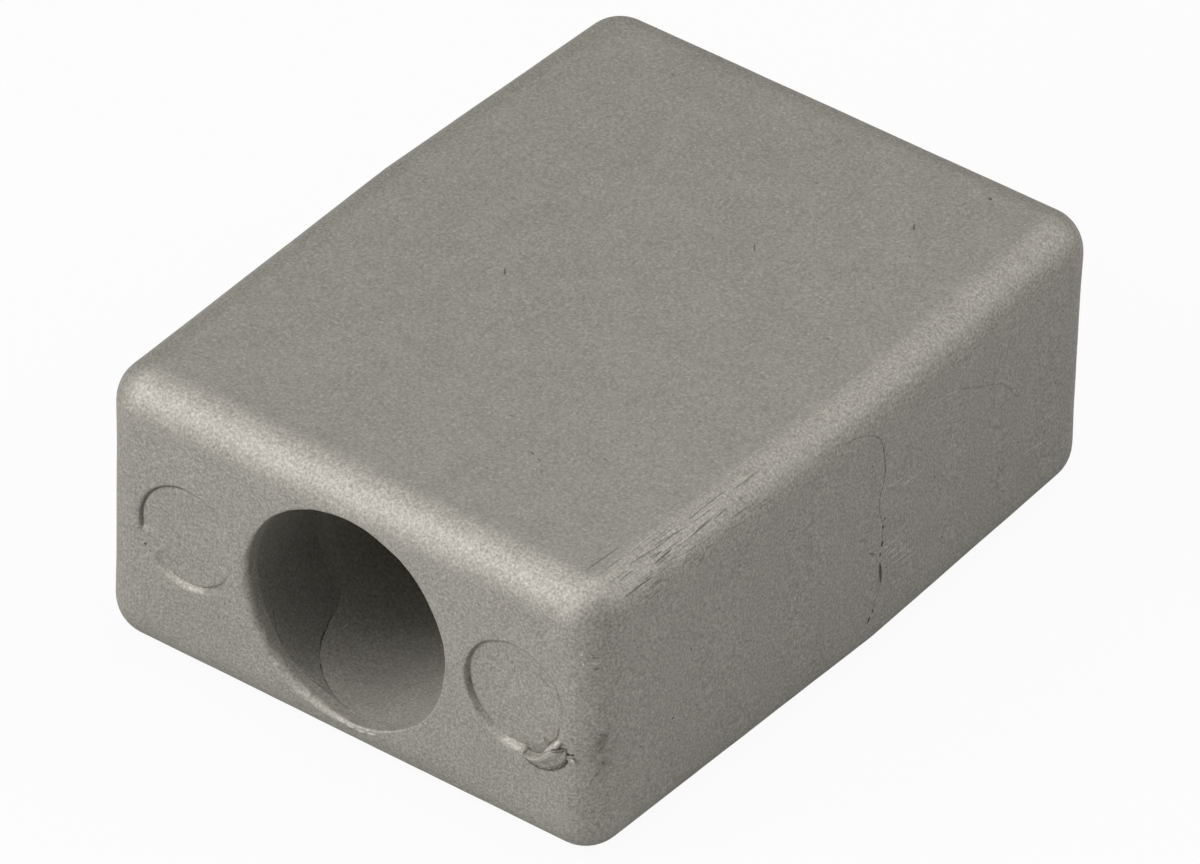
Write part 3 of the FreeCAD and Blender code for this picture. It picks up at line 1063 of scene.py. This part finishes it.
    def on_edge(self, turn: float, y: float) -> Point:
        """Find a point of the top right rounded edge.

        Args:
            turn: degrees from the top towards the side.
            y: place along the block.

        Returns:
            The point on the skin.
        """
        across = self.half_width(y) - self.edge_radius
        return (across + self.edge_radius * math.sin(math.radians(turn)), y,
                self.height - self.edge_radius * (1 - math.cos(math.radians(turn))))

    def edge_hatch(self) -> tuple[Nick, ...]:
        """Draw the fine parallel scratches that rubbing left along the top right edge.

        Returns:
            The scratches of its two rubbed stretches.
        """
        rng = random.Random(self.hatch_seed)
        nicks = []
        for first_turn, last_turn, low, high, longest, strength in self.rubbed:
            turn = first_turn
            while turn < last_turn:
                y = low + rng.uniform(0.0, 5.0)
                while y < high:
                    span = rng.uniform(1.0, longest)
                    middle = (low + high) / 2
                    if rng.random() < 0.75 - 0.4 * smooth(0.0, high - middle, y - middle):
                        tone = rng.choice(self.rubbed_tones) * strength
                        width = rng.uniform(0.06, 0.11)
                        end = self.on_edge(turn + rng.uniform(-0.8, 0.8), y + span)
                        nicks.append(Nick(self.on_edge(turn, y), end, width, width * 0.3, tone))
                    y += span + rng.uniform(0.3, 2.0)
                turn += self.hatch_turn
        return tuple(nicks)

    def stray_pits(self) -> tuple[Nick, ...]:
        """Scatter tiny pores over the front face, the right side and the top.

        Returns:
            The pores, none of them on the bore or on a pin mark.
        """
        rng = random.Random(self.pit_seed)
        nicks = []
        for _ in range(self.pits):
            face = rng.choice(("front", "front", "side", "side", "top"))
            y = rng.uniform(-27.0, 27.0)
            z = rng.uniform(4.0, 21.0)
            x = rng.uniform(-20.0, 20.0)
            spot = {"front": (x, self.front, z), "side": (self.half_width(y), y, z),
                    "top": (x, y, self.height)}[face]
            pin_gap = min(math.hypot(x - pin.across, z - self.middle - pin.rise)
                          for pin in self.pins)
            bore_gap = math.hypot(x, z - self.middle)
            if face == "front" and (bore_gap < self.bore_clear or pin_gap < self.pin_clear):
                continue
            size = rng.uniform(0.09, 0.17)
            turn = Vector((rng.uniform(-1, 1), rng.uniform(-1, 1), rng.uniform(-1, 1)))
            skin = self.outward(Vector(spot))
            along = (turn - skin * turn.dot(skin)).normalized() * rng.uniform(0.08, 0.3)
            end = Vector(spot) + along
            nicks.append(Nick(spot, tuple(end), size, size * 0.4, rng.choice(self.pit_tones)))
        return tuple(nicks)

    def nick_cutters(self, nicks: tuple[Nick, ...], skin: BVHTree) -> bmesh.types.BMesh:
        """Shape one long thin drop for each nick, set half into the skin.

        Args:
            nicks: the nicks to shape.
            skin: the swelling skin, which the nicks are set on.

        Returns:
            One mesh of closed drops, with each nick's tone on its faces.
        """
        mesh = bmesh.new()
        tone = mesh.faces.layers.float.new("tone")
        for nick in nicks:
            start, end = Vector(nick.start), Vector(nick.end)
            middle = (start + end) / 2
            normal = self.outward(middle)
            nearest, facing = skin.find_nearest(middle, self.snap)[:2]
            if nearest is not None:
                middle = nearest
                if abs(normal.x) > self.flat_side:
                    normal = facing * math.copysign(1.0, facing.dot(normal))
            along = (end - start).normalized()
            side = normal.cross(along).normalized()
            along = side.cross(normal).normalized()
            size = Matrix.Diagonal(
                ((end - start).length * self.drop_share, nick.width / 2, nick.depth, 1.0))
            turn = Matrix((along, side, normal)).transposed().to_4x4()
            drop = bmesh.ops.create_icosphere(
                mesh, subdivisions=2, radius=1.0,
                matrix=Matrix.Translation(middle) @ turn @ size)
            # Each nick's tone, painted shade when dark and a painted highlight when bright, goes on
            # its faces.
            for vert in drop["verts"]:
                for face in vert.link_faces:
                    face[tone] = nick.tone
        return mesh

    def mark_scuff(self, mesh: bpy.types.Mesh) -> None:
        """Keep how scuffed each point is, for the finish to darken it.

        Args:
            mesh: the casting in millimetres.
        """
        scuff = mesh.attributes.new("scuff", "FLOAT", "POINT")
        for vert in mesh.vertices:
            away = vert.co - Vector(self.scuff_middle)
            reach = Vector([part / most for part, most in zip(away, self.scuff_reach)]).length
            scuff.data[vert.index].value = self.scuff_share * (1.0 - smooth(0.3, 1.2, reach))

    def build(self) -> bpy.types.Object:
        """Build the casting as one closed piece.

        Returns:
            The piece.
        """
        skin = self.outer_skin()
        self.add_grid(skin)
        self.shift_halves(skin)
        self.roughen(skin)
        surface = BVHTree.FromBMesh(skin)
        mesh = to_mesh(skin, "casting")
        bore = self.bore.cutter(self.front, self.middle, self.length)
        mesh = carve(mesh, to_mesh(bore, "bore"), "DIFFERENCE")
        fleck = self.bore.fleck_drop(self.front, self.middle)
        mesh = carve(mesh, to_mesh(fleck, "fleck"), "UNION")
        for pin in self.pins:
            cutter = pin.cutter(self.front, self.middle)
            mesh = carve(mesh, to_mesh(cutter, "pin"), "DIFFERENCE")
        placed = EDGE_SCRATCHES + SIDE_MARKS + PARTING_LINE + TOP_PITS + FRONT_MARKS
        for nicks in (placed[0::2], placed[1::2], self.edge_hatch(), self.stray_pits()):
            cutters = self.nick_cutters(nicks, surface)
            mesh = carve(mesh, to_mesh(cutters, "nicks"), "DIFFERENCE")
        self.mark_scuff(mesh)
        piece = add_piece(mesh, "zinc_casting", self.finish.make(), self.sharp_angle)
        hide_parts(NODE)
        return piece


@dataclass
class PinFlash:
    """The flake of flash that a worn ejector pin squeezed out and folded down.

    It lies on the front face along the rim of the right pin mark, highest along
    the rim, with two splinters that stand up from its right end and a crumb beside
    them. Its foot and its root lie inside the casting. Painted highlights brighten
    its crest, the splinters and the crumb, and painted shade and a painted shadow
    darken its crack, its hollow and its borders.
    """

    centre: Point = (15.7, -31.75, 13.25)
    rise: float = 0.42
    root: float = 0.55
    foot: float = 0.38
    crest_share: float = 0.25
    across: int = 44
    outwards: int = 20
    sharp_angle: float = 40.0
    # Angle about the pin mark's middle, then the radii of the foot, the crest and the outer edge.
    outline: tuple[tuple[float, float, float, float], ...] = (
        (-76.0, 4.75, 4.95, 5.42), (-73.5, 4.88, 5.10, 5.52), (-70.0, 5.02, 5.25, 5.72),
        (-66.0, 5.08, 5.32, 5.92), (-62.6, 5.08, 5.32, 6.08), (-57.0, 5.00, 5.26, 6.24),
        (-51.7, 4.80, 5.12, 6.32), (-46.0, 4.70, 5.05, 6.38), (-41.0, 4.65, 5.05, 6.38),
        (-37.0, 4.75, 5.20, 6.22), (-33.0, 5.05, 5.40, 6.00), (-30.5, 5.30, 5.52, 5.82),
        (-28.5, 5.50, 5.64, 5.72))
    # Both ends in X and Z, then width, height and tone, which is a painted highlight.
    splinters: tuple[tuple[float, ...], ...] = (
        (18.80, 9.45, 20.15, 10.95, 0.42, 0.40, 0.4), (19.60, 10.28, 20.20, 10.98, 0.58, 0.42, 0.4),
        (21.20, 9.50, 21.45, 9.80, 0.48, 0.10, 0.15))

    def relief(self, along: float, out: float) -> float:
        """Height of the flake above the face.

        Args:
            along: share of the way from its left tip to its right end.
            out: share of the way from its foot over its crest to its outer edge.

        Returns:
            The height, which is below the face at its borders.
        """
        beyond = (out - self.crest_share) / (1.0 - self.crest_share)
        ends = smooth(-0.04, 0.06, along) * (1.0 - 0.6 * smooth(0.75, 1.0, along))
        trough = 0.1 * smooth(0.2, 0.5, along) * math.exp(-((beyond - 0.5) / 0.2) ** 2)
        level = self.rise * (1.0 - 0.7 * max(0.0, beyond) ** 0.8) - trough
        level += 0.04 * noise.noise(Vector((along * 7.0, out * 3.0, 4.0)))
        if beyond < 0.0:
            return (level * ends + self.foot) * smooth(0.0, self.crest_share, out) - self.foot
        return level * ends * (1.0 - smooth(0.85, 1.0, beyond)) - 0.01

    def painted_light(self, along: float, out: float) -> float:
        """Tone of the flake: a painted highlight along its crest, painted shade in its crack, its
        hollow and at its foot and left tip, and a painted shadow along its outer border.

        Args:
            along: share of the way from its left tip to its right end.
            out: share of the way from its foot over its crest to its outer edge.

        Returns:
            The tone.
        """
        if along > 0.74 and 0.12 < out < 0.36 + 1.4 * (along - 0.8):
            return -0.55 * smooth(0.74, 0.82, along)
        if out < 0.06 or along < 0.04:
            return -0.5
        border = -0.4 * smooth(0.84, 0.95, out)
        crest = 0.35 * (1.0 - smooth(0.08, 0.16, abs(out - 0.28))) * smooth(0.05, 0.3, along)
        hollow = -0.2 * smooth(0.25, 0.5, along) * smooth(0.5, 0.65, out)
        return min(border, hollow) + crest

    def leaf(self) -> bmesh.types.BMesh:
        """Lay a grid over the outline and close it below the face.

        Returns:
            The closed flake.
        """
        mesh = bmesh.new()
        bmesh.ops.create_grid(
            mesh, x_segments=self.across, y_segments=self.outwards, size=0.5)
        tone = mesh.faces.layers.float.new("tone")
        for face in mesh.faces:
            middle = face.calc_center_median()
            face[tone] = self.painted_light(middle.x + 0.5, middle.y + 0.5)
        first, last = self.outline[0][0], self.outline[-1][0]
        for vert in mesh.verts:
            along, out = vert.co.x + 0.5, vert.co.y + 0.5
            angle = first + (last - first) * along
            foot, crest, outer = along_table(self.outline, angle)
            share = self.crest_share
            radius = foot + (crest - foot) * min(1.0, out / share)
            radius += (outer - crest) * max(0.0, out - share) / (1.0 - share)
            radius += 0.03 * noise.noise(Vector((along * 11.0, out * 2.0, 1.0)))
            turn = math.radians(angle)
            vert.co = (self.centre[0] + radius * math.cos(turn),
                       self.centre[1] - self.relief(along, out),
                       self.centre[2] + radius * math.sin(turn))
        below = bmesh.ops.extrude_face_region(
            mesh, geom=list(mesh.faces), use_keep_orig=True)
        for vert in below["geom"]:
            if isinstance(vert, bmesh.types.BMVert):
                vert.co.y = self.centre[1] + self.root
        return mesh

    def splinter(self, row: tuple[float, ...]) -> bmesh.types.BMesh:
        """Shape one splinter.

        Args:
            row: its two ends, its width, its height and its tone, a painted highlight.

        Returns:
            A closed mesh.
        """
        low, high = Vector((row[0], 0, row[1])), Vector((row[2], 0, row[3]))
        width, height, painted_highlight = row[4:]
        along = (high - low).normalized()
        outward = Vector((0, -1, 0))
        turn = Matrix((along, along.cross(outward), outward)).transposed().to_4x4()
        middle = (low + high) / 2 + Vector((0, self.centre[1], 0))
        size = Matrix.Diagonal(((high - low).length * 0.56, width / 2, height, 1.0))
        mesh = bmesh.new()
        bmesh.ops.create_icosphere(
            mesh, subdivisions=3, radius=1.0, matrix=Matrix.Translation(middle) @ turn @ size)
        tone = mesh.faces.layers.float.new("tone")
        for face in mesh.faces:
            face[tone] = painted_highlight
        for vert in mesh.verts:
            vert.co += 0.05 * noise.noise_vector(vert.co * 2.4)
        return mesh

    def build(self, material: bpy.types.Material) -> bpy.types.Object:
        """Build the flake with its splinters.

        Args:
            material: the casting's zinc.

        Returns:
            The piece.
        """
        mesh = to_mesh(self.leaf(), "leaf")
        for row in self.splinters:
            mesh = carve(mesh, to_mesh(self.splinter(row), "splinter"), "UNION")
        return add_piece(mesh, "pin_flash", material, self.sharp_angle)


@dataclass(frozen=True)
class PhotoCamera:
    """The photographer's long lens, a metre off, over the front right corner."""

    azimuth: float = 35.98
    elevation: float = 36.92
    roll: float = 1.774
    distance: float = 978.9
    pixels_per_mm: float = 13.199
    centre: tuple[float, float, float] = (-0.06, 0.0, 12.45)
    centre_right: float = 1.75
    centre_up: float = 11.49
    clip_end_m: float = 100.0

    def make(self) -> None:
        """Place the camera so that the block's centre falls where the photograph has it."""
        around, lift, roll = (
            math.radians(angle) for angle in (self.azimuth, self.elevation, self.roll))
        back = Vector((math.sin(around) * math.cos(lift),
                       -math.cos(around) * math.cos(lift), math.sin(lift)))
        level = (-back).cross(Vector((0, 0, 1))).normalized()
        upright = level.cross(-back)
        right = math.cos(roll) * level + math.sin(roll) * upright
        above = math.cos(roll) * upright - math.sin(roll) * level
        aim = (Vector(self.centre) - right * (self.centre_right / self.pixels_per_mm)
               - above * (self.centre_up / self.pixels_per_mm))
        data = bpy.data.cameras.new("photo_camera")
        data.sensor_width = SENSOR_WIDTH
        data.lens = self.pixels_per_mm * self.distance * SENSOR_WIDTH / PHOTO_WIDTH
        data.clip_end = self.clip_end_m
        camera = bpy.data.objects.new("photo_camera", data)
        turn = Matrix((right, above, back)).transposed().to_4x4()
        camera.matrix_world = Matrix.Translation((aim + back * self.distance) * MM) @ turn
        bpy.context.scene.collection.objects.link(camera)
        bpy.context.scene.camera = camera


@dataclass(frozen=True)
class SoftBox:
    """One square studio light with a soft front, turned towards the block.

    Its azimuth is measured from the front face towards the right side.
    """

    name: str
    azimuth: float
    elevation: float
    power: float
    distance: float = 900.0
    side: float = 500.0
    colour: str = "ffffff"

    def make(self) -> None:
        """Hang the light where it points at the block."""
        data = bpy.data.lights.new(self.name, "AREA")
        data.shape = "SQUARE"
        data.size = self.side * MM
        data.energy = self.power
        data.color = linear(self.colour)[:3]
        light = bpy.data.objects.new(self.name, data)
        around, lift = math.radians(self.azimuth), math.radians(self.elevation)
        direction = Vector((math.sin(around) * math.cos(lift),
                            -math.cos(around) * math.cos(lift), math.sin(lift)))
        light.matrix_world = (
            Matrix.Translation(direction * self.distance * MM)
            @ direction.to_track_quat("Z", "Y").to_matrix().to_4x4())
        bpy.context.scene.collection.objects.link(light)


@dataclass
class Studio:
    """A floor of white paper in a dark room, with soft boxes all round the block.

    The floor lies just below the swell of the block's bottom. To the camera it
    glows by a share of plain white, and the rest is its own lit paper, which keeps
    the block's shadow.
    """

    floor_side: float = 6000.0
    floor_level: float = -0.03
    floor_glow: float = 0.94
    paper: str = "cbcbcb"
    paper_roughness: float = 0.9
    lights: tuple[SoftBox, ...] = (
        SoftBox("key_light", -45, 35, 4.2),
        SoftBox("low_front_light", -20, 15, 2.45),
        SoftBox("top_front_light", -20, 50, 0.18, 400, 222),
        SoftBox("corner_light", 15, 50, 0.08, 400, 222),
        SoftBox("top_right_light", 60, 55, 0.6),
        SoftBox("right_light", 100, 30, 0.56),
        SoftBox("right_rear_light", 135, 35, 2.5),
        SoftBox("top_rear_light", -180, 60, 1.2),
        SoftBox("overhead_light", 0, 88, 2.75),
    )

    def floor(self) -> None:
        """Lay the floor."""
        mesh = bmesh.new()
        bmesh.ops.create_grid(mesh, x_segments=1, y_segments=1, size=self.floor_side * MM / 2)
        floor = bpy.data.objects.new("studio_floor", to_mesh(mesh, "studio_floor"))
        floor.location.z = self.floor_level * MM
        material = bpy.data.materials.new("matt_white_paper")
        material.use_nodes = True
        tree = material.node_tree
        shader = tree.nodes["Principled BSDF"]
        shader.inputs["Base Color"].default_value = linear(self.paper)
        shader.inputs["Roughness"].default_value = self.paper_roughness
        shader.inputs["Specular IOR Level"].default_value = 0.0
        rays = add_node(tree, "ShaderNodeLightPath", {}, {})
        share = add_node(
            tree, "ShaderNodeMath", {"operation": "MULTIPLY"},
            {0: rays.outputs["Is Camera Ray"], 1: self.floor_glow})
        glow = add_node(tree, "ShaderNodeEmission", {}, {"Color": linear("ffffff")})
        mix = add_node(
            tree, "ShaderNodeMixShader", {},
            {0: share.outputs[0], 1: shader.outputs[0], 2: glow.outputs[0]})
        tree.links.new(mix.outputs[0], tree.nodes["Material Output"].inputs["Surface"])
        floor.data.materials.append(material)
        bpy.context.scene.collection.objects.link(floor)

    def world(self) -> None:
        """Leave the room dark, so that the soft boxes alone light the block."""
        world = bpy.data.worlds.new("studio_room")
        bpy.context.scene.world = world
        world.use_nodes = True
        world.node_tree.nodes["Background"].inputs["Strength"].default_value = 0.0

    def make(self) -> None:
        """Set up the floor, the world and the lights."""
        self.floor()
        self.world()
        for light in self.lights:
            light.make()
        bpy.context.scene.view_settings.view_transform = "Standard"


def main() -> None:
    """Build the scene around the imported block."""
    logging.basicConfig(level=logging.INFO, format="%(name)s: %(message)s")
    noise.seed_set(NOISE_SEED)
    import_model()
    PhotoCamera().make()
    Studio().make()
    casting = Casting().build()
    flash = PinFlash().build(casting.data.materials[0])
    for piece in (casting, flash):
        triangles = sum(len(face.vertices) - 2 for face in piece.data.polygons)
        LOG.info("%s: %d triangles", piece.name, triangles)


if __name__ == "__main__":
    main()
